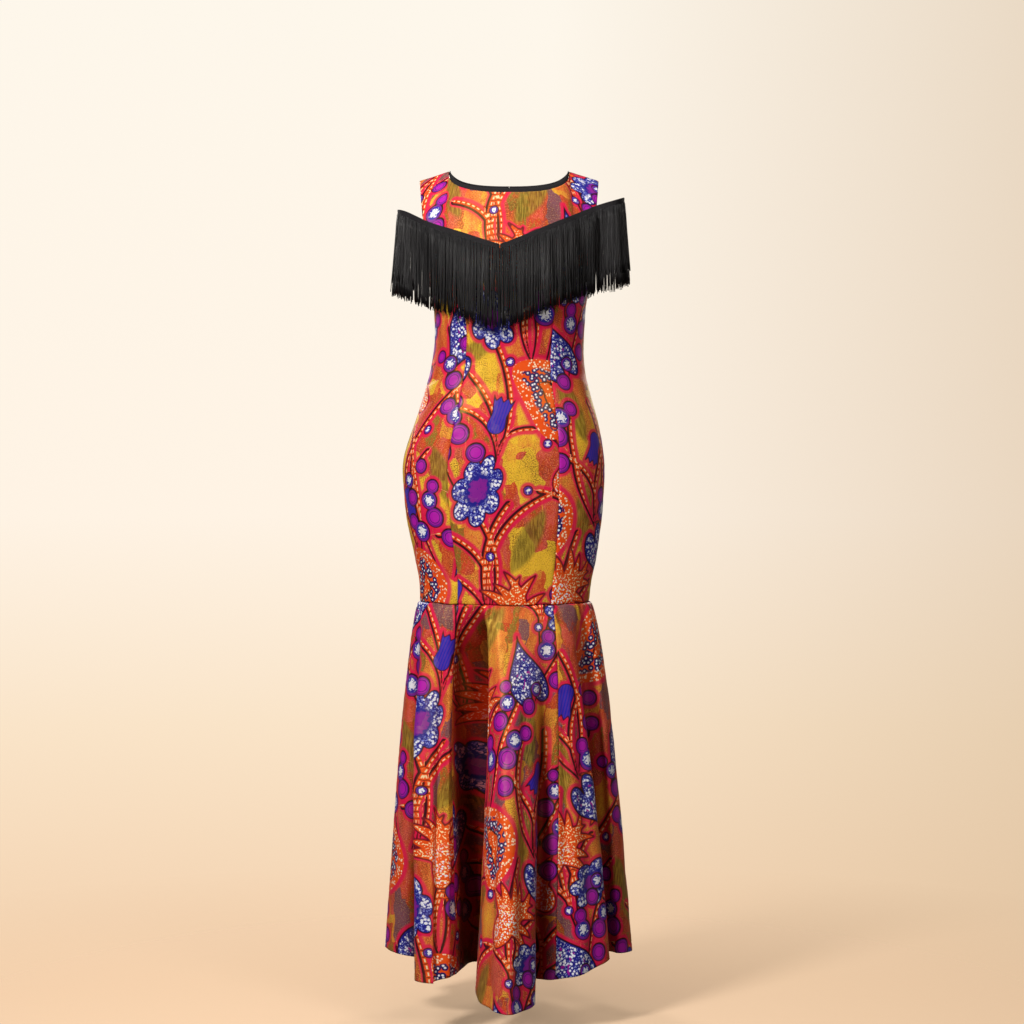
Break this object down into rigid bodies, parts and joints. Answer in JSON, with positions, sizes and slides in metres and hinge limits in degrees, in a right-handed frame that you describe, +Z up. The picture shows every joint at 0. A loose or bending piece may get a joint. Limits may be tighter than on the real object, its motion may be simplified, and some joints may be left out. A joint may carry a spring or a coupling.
{
  "type": "ankara maxi dress",
  "caption": "Sleeveless ankara wax-print mermaid maxi dress with a fluted knee-to-floor flounce and a black fringe worn off the shoulder.",
  "frame": {"origin": "midway between the two neck points, where the wearer's shoulders carry the dress", "axes": "+Z up, -Y towards the front of the dress, +X to the right of someone who faces it"},
  "size_m": [0.4303, 0.4791, 1.4142],
  "materials": {
    "printed_cotton": "wax-print cotton in oranges, purples and blues with a soft sheen",
    "black_cotton": "matte black plain weave",
    "black_yarn": "black viscose chainette with a faint gloss",
    "black_metal": "black lacquered zip metal"
  },
  "bodies": {
    "dress": {"front_centre": "printed_cotton", "front_side_left": "printed_cotton", "front_side_right": "printed_cotton", "back_centre_left": "printed_cotton", "back_centre_right": "printed_cotton", "back_side_left": "printed_cotton", "back_side_right": "printed_cotton", "flounce_front": "printed_cotton", "flounce_back_left": "printed_cotton", "flounce_back_right": "printed_cotton", "neck_facing_front": "black_cotton", "neck_facing_back_left": "black_cotton", "neck_facing_back_right": "black_cotton", "fringe_left": "black_yarn", "fringe_right": "black_yarn", "zip_slider": "black_metal"},
    "zip_pull": {"zip_pull": "black_metal"}
  },
  "joints": [
    {"name": "zip_pull_hinge", "type": "hinge", "parent": "dress", "child": "zip_pull", "pos_m": [0, 0.07841, -0.03406], "axis": [1, 0, 0], "range_deg": [0, 150]}
  ]
}
